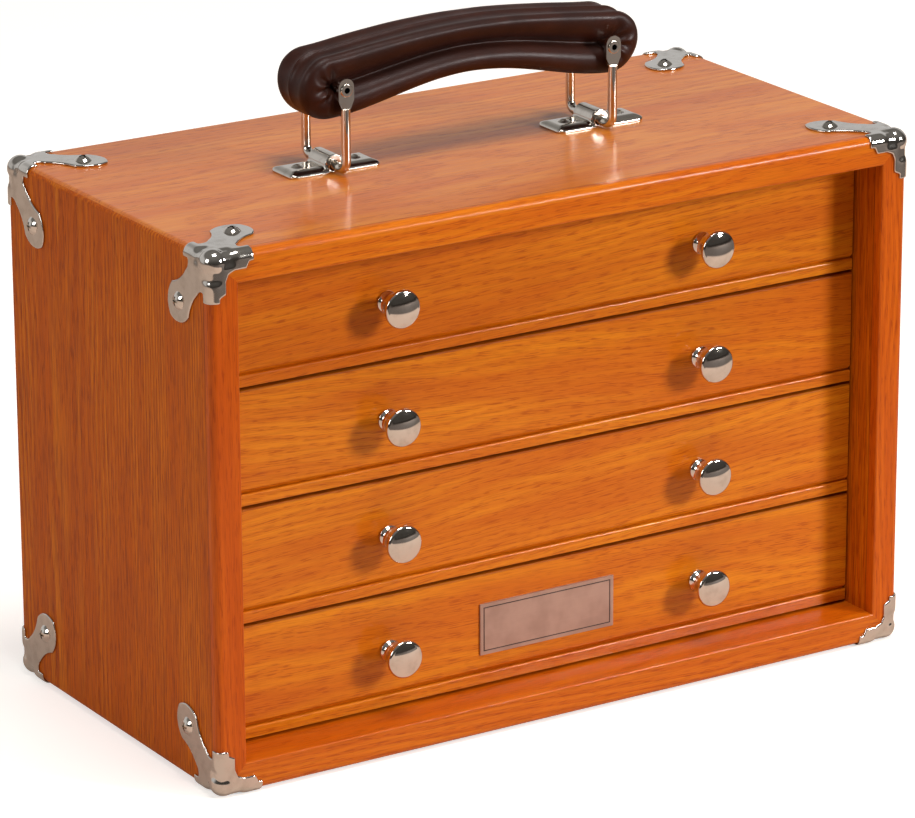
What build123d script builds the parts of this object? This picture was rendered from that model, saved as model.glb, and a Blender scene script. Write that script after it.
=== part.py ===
from build123d import *
import os

# A small machinist tool chest: an oak case with four drawers set back in its front, stamped
# metal corner fittings, and a padded handle that leans over sideways on two wire bails.
# Millimetres. The origin is under the middle of the chest, +X to the right, the drawers face -Y.

# --- Case ---
case_width = 336.0
case_depth = 170.0
case_height = 226.0
panel = 12.7  # thickness of the top, bottom and side panels
edge_round = 3.0  # rounding of the outer edges
edging_depth = 5.0  # solid strips along the front edges
edging_round = 0.8  # their inner front edge
back_thickness = 6.0
back_rebate = 6.0  # how far the back panel reaches into the other panels
recess = 19.0  # from the front of the case to the drawer faces

# --- Corner fittings, stamped from sheet ---
metal = 1.0
fitting_round = 4.2  # outer rounding of a fitting
fitting_play = 0.4  # its inner rounding is this much less than the wood's
fitting_reach = 19.6  # how far it runs along each edge
fitting_lip = 7.0  # width of the lips on the front or back face
fitting_neck = 15.8  # where a wing is narrowest
fitting_neck_place = 4.8  # from the edge of the case to the neck
fitting_waist = 9.0  # from the edge of the case to where the tab begins
fitting_waist_width = 17.7
fitting_end = 1.0  # the straight piece where a wing's end leaves the edge
fitting_screw = 23.5  # from the corner to a screw, along both edges
fitting_tab = 8.6  # half the width of the tab round the screw
fitting_lip_slope = 3.4  # how far the end of a lip slopes
fitting_lip_step = 2.8  # the sloping step where the two lips meet
fitting_lip_corner = 8.2
fitting_skirt = 2.0  # how far the cutting outlines stand off the surface
rim_round = 0.35  # the softened outer edge all round a fitting
on_surface = 0.01  # an edge nearer than this lies on the surface

# --- Wood screws ---
screw_head = 3.8
screw_dome = 2.0
screw_shank = 1.6
screw_length = 10.5
screw_play = 0.1
cross_width = 0.9  # the cross recess in a screw head
cross_length = 3.8
cross_depth = 1.1

# --- Drawers ---
drawer_count = 4
drawer_gap = 1.4
drawer_side_play = 0.8  # between a drawer front and the case
front_thickness = 12.0
front_round = 0.8
bead_height = 4.8  # flat bead along the lower edge of a drawer front
bead_depth = 1.7  # the relief above it
bead_cove = 2.1
bead_round = 0.9
box_wall = 9.0  # drawer sides and back
box_drop = 5.0  # the box's top edge under the top of its front
box_raise = 1.0  # the box's lower edge over the bottom of its front
box_play = 1.0  # between the drawer sides and the case
box_back_play = 3.0  # behind the drawer
drawer_floor = 3.0
floor_raise = 2.0
floor_groove = 3.0
liner = 1.2
liner_play = 0.6
runner_width = 5.0
runner_height = 7.8
runner_play = 0.4
runner_rise = 16.0  # top of a runner over the bottom of its drawer front

# --- Knobs ---
knob_spacing = 153.0
knob_head = 8.1
knob_rim = 2.6
knob_crown = 1.2
knob_crown_inset = 1.2  # where the crown starts, inside the rim
knob_back_inset = 1.6
knob_neck = 2.9
knob_waist = 5.5  # height of the neck over the drawer's face
knob_base = 4.7
knob_base_thickness = 1.0
knob_projection = 14.5
knob_screw = 2.0
knob_screw_head = 3.5
knob_screw_head_thickness = 1.8
knob_thread = 7.0  # length of the screw inside the knob

# --- Plate on the lowest drawer ---
plate_width = 66.0
plate_height = 22.4
plate_thickness = 0.8
plate_line_inset = 1.5
plate_line = 0.5
plate_line_depth = 0.2

# --- Handle ---
bail_spacing = 130.0
bail_half_span = 16.0  # from the middle to a leg's centre
bail_rod = 2.0
bail_bend = 4.0
bail_bar_height = 2.6  # pivot bar over the top of the case
bail_eye_height = 33.8  # eye over the pivot bar
strap_half_width = 3.6
strap_thickness = 1.8
strap_above_eye = 1.2  # where its round end begins
strap_below_eye = 4.4
strap_shoulder = 8.0
pivot_play = 0.08
pin_radius = 1.9
pin_bore = 1.25
pin_flange = 2.7
pin_flange_thickness = 0.6
pin_play = 0.06
open_pin_play = 0.3  # at the right bail, where the linkage is left open
saddle_length = 43.0
saddle_width = 18.0
saddle_thickness = 2.6
saddle_round = 1.1
saddle_hump = 4.7
saddle_hump_width = 14.0
saddle_notch = 3.2
saddle_screw_offset = 13.8
saddle_screw_head = 2.9
saddle_screw_dome = 0.9
grip_half_width = 13.2
grip_end_radius = 15.4
grip_end_offset = 6.6  # end circle's centre beyond the eye
grip_crown = 4.7  # rise of the top line in the middle
grip_arch = 11.6  # rise of the bottom line in the middle
grip_blend = 12.0  # smooths the line where the ends meet the long sides
grip_edge = 5.0
grip_groove_width = 6.0
grip_groove_depth = 4.0
grip_groove_rise = 8.0
grip_pin_play = 0.2

# --- Places worked out from the sizes above ---
half_width = case_width / 2
half_depth = case_depth / 2
front = -half_depth
back = half_depth
case_bottom = metal
case_top = case_bottom + case_height
case_middle = (case_bottom + case_top) / 2
opening_half = half_width - panel
opening_bottom = case_bottom + panel
opening_top = case_top - panel
drawer_face = front + recess
box_front = drawer_face + front_thickness
back_face = back - back_thickness
box_back = back_face - box_back_play
drawer_pitch = (opening_top - opening_bottom - drawer_gap) / drawer_count
front_height = drawer_pitch - drawer_gap
front_half = opening_half - drawer_side_play
box_half = opening_half - box_play
bail_bar = case_top + bail_bar_height
bail_eye = bail_bar + bail_eye_height
outer_corners = [
    (-half_width, case_bottom),
    (half_width, case_bottom),
    (half_width, case_top),
    (-half_width, case_top),
]
inner_corners = [
    (-opening_half, opening_bottom),
    (opening_half, opening_bottom),
    (opening_half, opening_top),
    (-opening_half, opening_top),
]
sides_of_case = ["bottom", "right", "top", "left"]

# Dome-headed screws: where each head sits, and which way it faces.
wing_screws = []
for side_x in (-1, 1):
    for side_y in (-1, 1):
        across = side_x * (half_width - fitting_screw)
        along = side_y * (half_depth - fitting_screw)
        wing_screws.append(((across, along, case_top + metal), (0, 0, 1)))
        for height in (case_bottom + fitting_screw, case_top - fitting_screw):
            wing_screws.append(((side_x * (half_width + metal), along, height), (side_x, 0, 0)))

# Flush screws under the chest, so that it stands flat on its four lower fittings.
floor_screws = []
for side_x in (-1, 1):
    for side_y in (-1, 1):
        across = side_x * (half_width - fitting_screw)
        along = side_y * (half_depth - fitting_screw)
        floor_screws.append(((across, along, case_bottom - metal), (0, 0, -1)))

saddle_screws = []
for side_x in (-1, 1):
    for offset in (-saddle_screw_offset, saddle_screw_offset):
        across = side_x * bail_spacing / 2 + offset
        saddle_screws.append(((across, 0, case_top + saddle_thickness), (0, 0, 1)))

parts = []


def keep(piece, name):
    """Label a finished piece and put it on the list to be written."""
    piece.label = name
    parts.append(piece)


def turning_plane(seat, outward):
    """A plane through a turned piece's axis, with the outward direction up the page."""
    sideways = (0, 1, 0) if abs(outward[0]) > 0 else (1, 0, 0)
    return Plane(origin=seat, x_dir=sideways, z_dir=Vector(*sideways).cross(Vector(*outward)))


def bore_screw_holes(screws, radius, depth):
    """Cut a straight hole for each screw out of the piece being built."""
    for seat, outward in screws:
        with Locations(Plane(origin=seat, z_dir=outward)):
            Cylinder(radius, depth, align=(Align.CENTER, Align.CENTER, Align.MAX), mode=Mode.SUBTRACT)


def rounded_block(grow, radius):
    """The whole case as one rounded block, grown by the same amount on every side."""
    with BuildPart() as block:
        with Locations((0, 0, case_middle)):
            Box(case_width + 2 * grow, case_depth + 2 * grow, case_height + 2 * grow)
        fillet(block.edges(), radius)
    return block.part


case_block = rounded_block(0, edge_round)
fitting_outside = rounded_block(metal, fitting_round)
fitting_inside = rounded_block(0, edge_round - fitting_play)


# --- Case ---
def mitred_bar(side, start, end):
    """One of the four sides of the case between two depths, mitred at both ends."""
    following = (side + 1) % len(sides_of_case)
    with BuildPart() as bar:
        with BuildSketch(Plane.XZ.offset(-end)):
            with BuildLine():
                Polyline(
                    outer_corners[side],
                    outer_corners[following],
                    inner_corners[following],
                    inner_corners[side],
                    close=True,
                )
            make_face()
        extrude(amount=end - start)
        add(case_block, mode=Mode.INTERSECT)
    return bar


def case_panel(side):
    """A veneered panel behind the front edging, rebated for the back, with its screw holes."""
    bar = mitred_bar(side, front + edging_depth, back)
    with bar:
        with Locations((0, back, case_middle)):
            Box(
                2 * (opening_half + back_rebate),
                2 * back_thickness,
                opening_top - opening_bottom + 2 * back_rebate,
                mode=Mode.SUBTRACT,
            )
        hole = screw_shank + screw_play
        bore_screw_holes(wing_screws + floor_screws, hole, screw_length + screw_play)
        bore_screw_holes(saddle_screws, hole, screw_length + screw_play)
    keep(bar.part, sides_of_case[side] + "_panel")


def front_edging(side):
    """The solid strip on the front edge of one panel."""
    bar = mitred_bar(side, front, front + edging_depth)
    along = Axis.X if side % 2 == 0 else Axis.Z
    with bar:
        inner_edge = bar.edges().filter_by(along).group_by(Axis.Y)[0]
        fillet(inner_edge.sort_by_distance((0, front, case_middle))[0], edging_round)
    keep(bar.part, sides_of_case[side] + "_edging")


def back_panel():
    """The back, let into the rebates of the other four panels."""
    with BuildPart() as piece:
        with Locations((0, back - back_thickness / 2, case_middle)):
            Box(
                2 * (opening_half + back_rebate),
                back_thickness,
                opening_top - opening_bottom + 2 * back_rebate,
            )
    keep(piece.part, "back_panel")


def runners(side):
    """The strips on one inner side of the case that the drawers hang on."""
    start = box_front + runner_play
    middle = side * (opening_half - runner_width / 2)
    with BuildPart() as piece:
        for row in range(drawer_count):
            top = opening_bottom + drawer_gap + row * drawer_pitch + runner_rise
            with Locations((middle, (start + back_face) / 2, top - runner_height / 2)):
                Box(runner_width, back_face - start, runner_height)
    keep(piece.part, "left_runners" if side < 0 else "right_runners")


for side in range(len(sides_of_case)):
    case_panel(side)
    front_edging(side)
back_panel()
runners(-1)
runners(1)


# --- Corner fittings ---
diagonal = Plane(origin=(0, 0, 0), z_dir=(1, -1, 0))


def wing_outline():
    """Half of a wing along one edge of the face, then its mirror image in the diagonal."""
    edge_end = (fitting_reach, fitting_end)
    waist = (fitting_waist_width, fitting_waist)
    tab_side = (fitting_screw + fitting_tab * 0.62, fitting_screw - fitting_tab * 0.82)
    tab_tip = fitting_screw + fitting_tab * 0.86
    tab_neck = (fitting_screw - 1.2, tab_side[1] - 3.0)
    bulge = (fitting_screw + fitting_tab * 1.06, fitting_screw + 0.3)
    with BuildSketch() as outline:
        with BuildLine():
            Polyline((-fitting_skirt, -fitting_skirt), (fitting_reach, -fitting_skirt), edge_end)
            ThreePointArc(edge_end, (fitting_neck, fitting_neck_place), waist)
            ThreePointArc(waist, tab_neck, tab_side)
            ThreePointArc(tab_side, bulge, (tab_tip, tab_tip))
            mirror(about=diagonal)
        make_face()
    return outline.sketch


def lip_outline():
    """The short lips on the front or back face, stepped where they meet."""
    with BuildSketch() as outline:
        with BuildLine():
            Polyline(
                (-fitting_skirt, -fitting_skirt),
                (fitting_reach, -fitting_skirt),
                (fitting_reach, 0),
                (fitting_reach - fitting_lip_slope, fitting_lip),
                (fitting_lip_corner + fitting_lip_step, fitting_lip),
                (fitting_lip_corner, fitting_lip_corner),
            )
            mirror(about=diagonal)
        make_face()
    return outline.sketch


def corner_fitting():
    """The fitting of the lower left front corner: two wings, two lips and a round corner."""
    reach = fitting_skirt + fitting_round
    left = -half_width
    wing = wing_outline()
    lips = lip_outline()
    with BuildPart() as fitting:
        under = Plane(origin=(left, front, case_bottom - fitting_skirt), x_dir=(1, 0, 0), z_dir=(0, 0, 1))
        with BuildSketch(under):
            add(wing)
        extrude(amount=reach)
        beside = Plane(origin=(left - fitting_skirt, front, case_bottom), x_dir=(0, 1, 0), z_dir=(1, 0, 0))
        with BuildSketch(beside):
            add(wing)
        extrude(amount=reach)
        ahead = Plane(
            origin=(left, front + fitting_round, case_bottom), x_dir=(1, 0, 0), z_dir=(0, -1, 0)
        )
        with BuildSketch(ahead):
            add(lips)
        extrude(amount=reach)
        add(fitting_outside, mode=Mode.INTERSECT)
        add(fitting_inside, mode=Mode.SUBTRACT)
        skin = fitting_outside.shell()
        outer_edges = [edge for edge in fitting.edges() if not edge.is_interior]
        rim = [edge for edge in outer_edges if skin.distance_to(edge @ 0.5) < on_surface]
        fillet(rim, rim_round)
    return fitting.part


lower_left_front = corner_fitting()
mid_height = Plane(origin=(0, 0, case_middle), z_dir=(0, 0, 1))
for level, upside in (("lower", False), ("upper", True)):
    for depth, behind in (("front", False), ("back", True)):
        for hand, other_hand in (("left", False), ("right", True)):
            shape = lower_left_front
            if upside:
                shape = mirror(shape, about=mid_height)
            if behind:
                shape = mirror(shape, about=Plane.XZ)
            if other_hand:
                shape = mirror(shape, about=Plane.YZ)
            with BuildPart() as fitting:
                add(shape)
                bore_screw_holes(wing_screws, screw_shank + screw_play, screw_length)
                for seat, outward in floor_screws:
                    with Locations(Plane(origin=seat, z_dir=outward)):
                        Cone(
                            screw_shank + screw_play,
                            screw_head + screw_play,
                            metal,
                            align=(Align.CENTER, Align.CENTER, Align.MAX),
                            mode=Mode.SUBTRACT,
                        )
            keep(fitting.part, f"{level}_{hand}_{depth}_corner")


# --- Screws ---
def cross_recess(seat, outward, height):
    """The cross cut into a screw head."""
    with Locations(Plane(origin=seat, z_dir=outward).offset(height)):
        low = (Align.CENTER, Align.CENTER, Align.MAX)
        Box(cross_length, cross_width, cross_depth, align=low, mode=Mode.SUBTRACT)
        Box(cross_width, cross_length, cross_depth, align=low, mode=Mode.SUBTRACT)


def dome_screw(seat, outward, head, dome, sink):
    """A dome-headed wood screw; its seat is the face that its head lies on."""
    with BuildPart() as screw:
        with BuildSketch(turning_plane(seat, outward)):
            with BuildLine():
                Line((head, 0), (0, 0))
                Line((0, 0), (0, dome))
                TangentArc((0, dome), (head, 0), tangent=(1, 0))
            make_face()
            with BuildLine():
                Polyline(
                    (0, 0),
                    (screw_shank, 0),
                    (screw_shank, screw_shank - sink),
                    (0, -sink),
                    close=True,
                )
            make_face()
        revolve(axis=Axis(seat, outward))
        cross_recess(seat, outward, dome)
    return screw.part


def flush_screw(seat, outward):
    """A countersunk screw, its head level with the sheet."""
    with BuildPart() as screw:
        with BuildSketch(turning_plane(seat, outward)):
            with BuildLine():
                Polyline(
                    (0, 0),
                    (screw_head, 0),
                    (screw_shank, -metal),
                    (screw_shank, screw_shank - screw_length),
                    (0, -screw_length),
                    close=True,
                )
            make_face()
        revolve(axis=Axis(seat, outward))
        cross_recess(seat, outward, 0)
    return screw.part


with BuildPart() as corner_screws:
    for seat, outward in wing_screws:
        add(dome_screw(seat, outward, screw_head, screw_dome, screw_length))
    for seat, outward in floor_screws:
        add(flush_screw(seat, outward))
keep(corner_screws.part, "corner_screws")

with BuildPart() as handle_screws:
    for seat, outward in saddle_screws:
        add(dome_screw(seat, outward, saddle_screw_head, saddle_screw_dome, screw_length))
keep(handle_screws.part, "saddle_screws")


# --- Drawers ---
def drawer_front(bottom, screws):
    """A drawer front with a flat bead along its lower edge."""
    with BuildPart() as piece:
        end = Plane(origin=(-front_half, drawer_face, bottom), x_dir=(0, 1, 0), z_dir=(1, 0, 0))
        with BuildSketch(end) as profile:
            with BuildLine():
                Polyline(
                    (front_thickness, 0),
                    (0, 0),
                    (0, bead_height),
                    (bead_depth, bead_height),
                    (0, bead_height + bead_cove),
                    (0, front_height),
                    (front_thickness, front_height),
                    close=True,
                )
            make_face()
            fillet(profile.vertices().sort_by_distance((0, bead_height))[0], bead_round)
            fillet(profile.vertices().sort_by_distance((0, front_height))[0], front_round)
        extrude(amount=2 * front_half)
        bore_screw_holes(screws, knob_screw + screw_play, front_thickness)
        cut_floor_groove(bottom)
    return piece.part


def floor_box(bottom, mode=Mode.ADD):
    """The drawer's floor, which reaches into a groove in each of its four walls."""
    low = bottom + box_raise + floor_raise
    length = box_back - box_front - box_wall
    with Locations((0, box_front + length / 2, low)):
        Box(
            2 * (box_half - box_wall + floor_groove),
            length + 2 * floor_groove,
            drawer_floor,
            align=(Align.CENTER, Align.CENTER, Align.MIN),
            mode=mode,
        )


def cut_floor_groove(bottom):
    """The groove that takes the drawer's floor."""
    floor_box(bottom, Mode.SUBTRACT)


def drawer_side(bottom, side):
    """A drawer side, grooved outside for its runner and inside for the floor."""
    height = front_height - box_raise - box_drop
    groove = runner_width - box_play + runner_play
    with BuildPart() as piece:
        middle = side * (box_half - box_wall / 2)
        with Locations((middle, (box_front + box_back) / 2, bottom + box_raise + height / 2)):
            Box(box_wall, box_back - box_front, height)
        lane = bottom + runner_rise - (runner_height + runner_play) / 2
        with Locations((side * (box_half - groove / 2), (box_front + box_back) / 2, lane)):
            Box(groove, box_back - box_front, runner_height + runner_play, mode=Mode.SUBTRACT)
        cut_floor_groove(bottom)
    return piece.part


def drawer_back(bottom):
    """The drawer's back, between its sides."""
    height = front_height - box_raise - box_drop
    with BuildPart() as piece:
        with Locations((0, box_back - box_wall / 2, bottom + box_raise + height / 2)):
            Box(2 * (box_half - box_wall), box_wall, height)
        cut_floor_groove(bottom)
    return piece.part


def drawer_liner(bottom):
    """The felt that lies on the drawer's floor."""
    length = box_back - box_front - box_wall
    low = bottom + box_raise + floor_raise + drawer_floor
    with BuildPart() as piece:
        with Locations((0, box_front + length / 2, low + liner / 2)):
            Box(2 * (box_half - box_wall - liner_play), length - 2 * liner_play, liner)
    return piece.part


def knob(seat, outward):
    """A turned knob: flared foot, waisted neck, and a low-domed round head."""
    rim_back = knob_projection - knob_crown - knob_rim
    rim_front = rim_back + knob_rim
    with BuildPart() as piece:
        with BuildSketch(turning_plane(seat, outward)):
            with BuildLine():
                Polyline((0, 0), (knob_base, 0), (knob_base, knob_base_thickness))
                ThreePointArc(
                    (knob_base, knob_base_thickness),
                    (knob_neck + 0.5, knob_waist / 2),
                    (knob_neck, knob_waist),
                )
                ThreePointArc(
                    (knob_neck, knob_waist),
                    (knob_neck + 0.8, rim_back - 1.2),
                    (knob_head - knob_back_inset, rim_back),
                )
                ThreePointArc(
                    (knob_head - knob_back_inset, rim_back),
                    (knob_head, rim_back + knob_rim / 2),
                    (knob_head - knob_crown_inset, rim_front),
                )
                TangentArc(
                    (0, knob_projection),
                    (knob_head - knob_crown_inset, rim_front),
                    tangent=(1, 0),
                )
                Line((0, knob_projection), (0, 0))
            make_face()
        revolve(axis=Axis(seat, outward))
        with Locations(Plane(origin=seat, z_dir=outward)):
            Cylinder(
                knob_screw + screw_play,
                knob_thread + screw_play,
                align=(Align.CENTER, Align.CENTER, Align.MIN),
                mode=Mode.SUBTRACT,
            )
    return piece.part


def knob_fastener(seat, outward):
    """A pan-headed machine screw from inside the drawer, through its front into the knob."""
    with BuildPart() as screw:
        with BuildSketch(turning_plane(seat, outward)) as profile:
            with BuildLine():
                Polyline(
                    (0, knob_thread),
                    (knob_screw, knob_thread),
                    (knob_screw, -front_thickness),
                    (knob_screw_head, -front_thickness),
                    (knob_screw_head, -front_thickness - knob_screw_head_thickness),
                    (0, -front_thickness - knob_screw_head_thickness),
                    close=True,
                )
            make_face()
            corner = (knob_screw_head, -front_thickness - knob_screw_head_thickness)
            fillet(profile.vertices().sort_by_distance(corner)[0], knob_screw_head_thickness / 2)
        revolve(axis=Axis(seat, outward))
        inward = Vector(*outward) * -1
        cross_recess(seat, inward, front_thickness + knob_screw_head_thickness)
    return screw.part


for number in range(1, drawer_count + 1):
    name = f"drawer_{number}"
    bottom = opening_bottom + drawer_gap + (drawer_count - number) * drawer_pitch
    knob_height = bottom + front_height / 2
    knob_seats = []
    for side in (-1, 1):
        knob_seats.append(((side * knob_spacing / 2, drawer_face, knob_height), (0, -1, 0)))
    keep(drawer_front(bottom, knob_seats), f"{name}_front")
    keep(drawer_side(bottom, -1), f"{name}_left_side")
    keep(drawer_side(bottom, 1), f"{name}_right_side")
    keep(drawer_back(bottom), f"{name}_back")
    with BuildPart() as floor:
        floor_box(bottom)
    keep(floor.part, f"{name}_floor")
    keep(drawer_liner(bottom), f"{name}_liner")
    with BuildPart() as knobs:
        for seat, outward in knob_seats:
            add(knob(seat, outward))
    keep(knobs.part, f"{name}_knobs")
    with BuildPart() as fasteners:
        for seat, outward in knob_seats:
            add(knob_fastener(seat, outward))
    keep(fasteners.part, f"{name}_knob_screws")

# The plate in the middle of the lowest drawer, bare but for an engraved border line.
with BuildPart() as plate:
    plate_middle = opening_bottom + drawer_gap + front_height / 2
    face = Plane(origin=(0, drawer_face, plate_middle), x_dir=(1, 0, 0), z_dir=(0, -1, 0))
    with BuildSketch(face):
        Rectangle(plate_width, plate_height)
    extrude(amount=plate_thickness)
    with BuildSketch(face.offset(plate_thickness)):
        Rectangle(plate_width - 2 * plate_line_inset, plate_height - 2 * plate_line_inset)
        inset = plate_line_inset + plate_line
        Rectangle(plate_width - 2 * inset, plate_height - 2 * inset, mode=Mode.SUBTRACT)
    extrude(amount=-plate_line_depth, mode=Mode.SUBTRACT)
keep(plate.part, "label_plate")


# --- Handle ---
def bail(middle, eye_play):
    """A wire bail: a pivot bar under its saddle, two legs, and flattened ends with an eye."""
    with BuildPart() as piece:
        side_view = Plane(origin=(middle, 0, 0), x_dir=(0, 1, 0), z_dir=(1, 0, 0))
        shoulder = bail_eye - strap_shoulder
        with BuildLine(side_view) as path:
            FilletPolyline(
                (-bail_half_span, shoulder),
                (-bail_half_span, bail_bar),
                (bail_half_span, bail_bar),
                (bail_half_span, shoulder),
                radius=bail_bend,
            )
        with BuildSketch(Plane(origin=(middle, -bail_half_span, shoulder), z_dir=(0, 0, -1))):
            Circle(bail_rod)
        sweep(path=path.wire())
        for side in (-1, 1):
            strap_face = side * bail_half_span + strap_thickness / 2
            with BuildSketch(Plane(origin=(middle, strap_face, bail_eye), x_dir=(1, 0, 0), z_dir=(0, -1, 0))):
                with BuildLine():
                    Polyline(
                        (-strap_half_width, strap_above_eye),
                        (-strap_half_width, -strap_below_eye),
                        (-bail_rod, -strap_shoulder),
                        (bail_rod, -strap_shoulder),
                        (strap_half_width, -strap_below_eye),
                        (strap_half_width, strap_above_eye),
                    )
                    ThreePointArc(
                        (strap_half_width, strap_above_eye),
                        (0, strap_above_eye + strap_half_width),
                        (-strap_half_width, strap_above_eye),
                    )
                make_face()
                Circle(pin_radius + eye_play, mode=Mode.SUBTRACT)
            extrude(amount=strap_thickness)
    return piece.part


def saddle(middle):
    """A metal saddle screwed to the top, with a hump that the bail's bar turns in."""
    with BuildPart() as piece:
        with Locations((middle, 0, case_top)):
            Box(
                saddle_length,
                saddle_width,
                saddle_thickness,
                align=(Align.CENTER, Align.CENTER, Align.MIN),
            )
        top_edges = piece.edges().group_by(Axis.Z)[-1]
        fillet(top_edges, saddle_round)
        hump_end = Plane(origin=(middle, saddle_hump_width / 2, bail_bar), z_dir=(0, -1, 0))
        with BuildSketch(hump_end):
            Circle(saddle_hump)
        extrude(amount=saddle_hump_width)
        with Locations((middle, 0, case_top)):
            Box(
                saddle_length,
                saddle_width,
                saddle_hump,
                align=(Align.CENTER, Align.CENTER, Align.MAX),
                mode=Mode.SUBTRACT,
            )
        for side in (-1, 1):
            with Locations((middle, side * (saddle_hump_width + saddle_width) / 4, case_top)):
                Box(
                    2 * saddle_notch,
                    (saddle_width - saddle_hump_width) / 2,
                    2 * saddle_thickness,
                    mode=Mode.SUBTRACT,
                )
        with BuildSketch(Plane(origin=(middle, half_depth, bail_bar), z_dir=(0, -1, 0))):
            Circle(bail_rod + pivot_play)
        extrude(amount=case_depth, mode=Mode.SUBTRACT)
        bore_screw_holes(saddle_screws, screw_shank + screw_play, screw_length)
    return piece.part


def grip():
    """The padded grip: an arched bar with full round ends and a long hollow in each side."""
    end = bail_spacing / 2 + grip_end_offset
    high = bail_eye + grip_end_radius
    low = bail_eye - grip_end_radius
    hollow = ThreePointArc(
        (-bail_spacing / 2, bail_eye),
        (0, bail_eye + grip_groove_rise),
        (bail_spacing / 2, bail_eye),
    )
    with BuildPart() as piece:
        with BuildSketch(Plane.XZ.offset(-grip_half_width)) as profile:
            with BuildLine():
                ThreePointArc((-end, high), (0, high + grip_crown), (end, high))
                ThreePointArc((end, high), (end + grip_end_radius, bail_eye), (end, low))
                ThreePointArc((end, low), (0, low + grip_arch), (-end, low))
                ThreePointArc((-end, low), (-end - grip_end_radius, bail_eye), (-end, high))
            make_face()
            fillet(profile.vertices(), grip_blend)
        extrude(amount=2 * grip_half_width)
        rims = piece.faces().group_by(Axis.Y)
        fillet(rims[0].edges() + rims[-1].edges(), grip_edge)
        for side in (-1, 1):
            with BuildSketch(Plane.XZ.offset(-side * grip_half_width)):
                SlotArc(hollow, 2 * grip_groove_width)
            extrude(amount=side * grip_groove_depth, mode=Mode.SUBTRACT)
        for side in (-1, 1):
            eye = Plane(origin=(side * bail_spacing / 2, grip_half_width, bail_eye), z_dir=(0, -1, 0))
            with BuildSketch(eye):
                Circle(pin_radius + grip_pin_play)
            extrude(amount=2 * grip_half_width, mode=Mode.SUBTRACT)
    return piece.part


def pin(middle):
    """A tubular rivet through the grip and both legs of a bail, its ends rolled over."""
    face = bail_half_span + strap_thickness / 2 + pin_play
    end = face + pin_flange_thickness
    with BuildPart() as piece:
        with BuildSketch(Plane(origin=(middle, end, bail_eye), z_dir=(0, -1, 0))):
            Circle(pin_radius)
        extrude(amount=2 * end)
        for side in (-1, 1):
            start = end if side > 0 else -face
            with BuildSketch(Plane(origin=(middle, start, bail_eye), z_dir=(0, -1, 0))):
                Circle(pin_flange)
            extrude(amount=pin_flange_thickness)
        fillet(piece.edges().filter_by(GeomType.CIRCLE).group_by(Axis.Y)[0], pin_flange_thickness / 2)
        fillet(piece.edges().filter_by(GeomType.CIRCLE).group_by(Axis.Y)[-1], pin_flange_thickness / 2)
        with BuildSketch(Plane(origin=(middle, end, bail_eye), z_dir=(0, -1, 0))):
            Circle(pin_bore)
        extrude(amount=2 * end, mode=Mode.SUBTRACT)
    return piece.part


for hand, side, play in (("left", -1, pin_play), ("right", 1, open_pin_play)):
    keep(saddle(side * bail_spacing / 2), f"saddle_{hand}")
    keep(bail(side * bail_spacing / 2, play), f"bail_{hand}")
keep(grip(), "grip")
with BuildPart() as grip_pins:
    for side in (-1, 1):
        add(pin(side * bail_spacing / 2))
keep(grip_pins.part, "grip_pins")

# --- Files ---
os.makedirs("parts", exist_ok=True)
for piece in parts:
    export_step(piece, f"parts/{piece.label}.step")
print(len(parts), "pieces")
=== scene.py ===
# %% [markdown]
# # A small machinist tool chest
# The chest is an oak case with four drawers, nickel-plated corner fittings and a padded leather
# grip on two wire bails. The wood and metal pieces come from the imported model, at their real
# size. This lesson lights them, gives each surface its finish, works the stamped fittings and the
# turned knobs in more detail, and models the soft pieces: the grip and the felt in the drawers.

import math

import bmesh
import bpy
from mathutils import Matrix, Vector, noise


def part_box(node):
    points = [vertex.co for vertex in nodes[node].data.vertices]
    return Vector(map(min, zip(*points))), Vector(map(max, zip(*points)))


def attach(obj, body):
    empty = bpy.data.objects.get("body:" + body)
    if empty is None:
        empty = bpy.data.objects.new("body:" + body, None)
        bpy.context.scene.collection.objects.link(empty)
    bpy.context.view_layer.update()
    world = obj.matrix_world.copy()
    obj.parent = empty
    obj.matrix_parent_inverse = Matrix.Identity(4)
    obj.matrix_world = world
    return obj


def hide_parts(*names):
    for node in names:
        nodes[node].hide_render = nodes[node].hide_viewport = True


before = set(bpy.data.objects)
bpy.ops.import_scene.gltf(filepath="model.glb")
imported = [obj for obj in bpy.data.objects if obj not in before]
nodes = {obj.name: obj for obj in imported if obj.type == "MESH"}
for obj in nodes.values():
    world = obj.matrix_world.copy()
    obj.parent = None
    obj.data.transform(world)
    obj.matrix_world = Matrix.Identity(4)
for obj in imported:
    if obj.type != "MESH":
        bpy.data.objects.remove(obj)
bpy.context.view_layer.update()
mm = 0.001

# %% [markdown]
# ## The camera
# The photographer stood well back with a long lens, to the left of the chest and above it, which
# keeps its edges nearly parallel. The camera is placed by two angles and a distance from a point
# in the middle of the chest. Its axes are then written as the columns of a rotation matrix, with
# a small turn about the line of sight, because a hand-set tripod is never quite level.

# %% The camera
view_turn = math.radians(-32.04)  # to the left of straight ahead
view_height = math.radians(18.44)
view_roll = math.radians(-0.219)
view_distance = 2.1612
view_point = Vector((-0.002, 0.0, 0.1115))
focal_pixels = 5112.4
image_width = 915
sensor_width = 36.0
view_end = 60  # metres

towards_camera = Vector((
    math.sin(view_turn) * math.cos(view_height),
    -math.cos(view_turn) * math.cos(view_height),
    math.sin(view_height),
))
level_right = Vector((math.cos(view_turn), math.sin(view_turn), 0))
level_up = towards_camera.cross(level_right)
rolled_right = level_right * math.cos(view_roll) + level_up * math.sin(view_roll)
rolled_up = towards_camera.cross(rolled_right)

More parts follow.
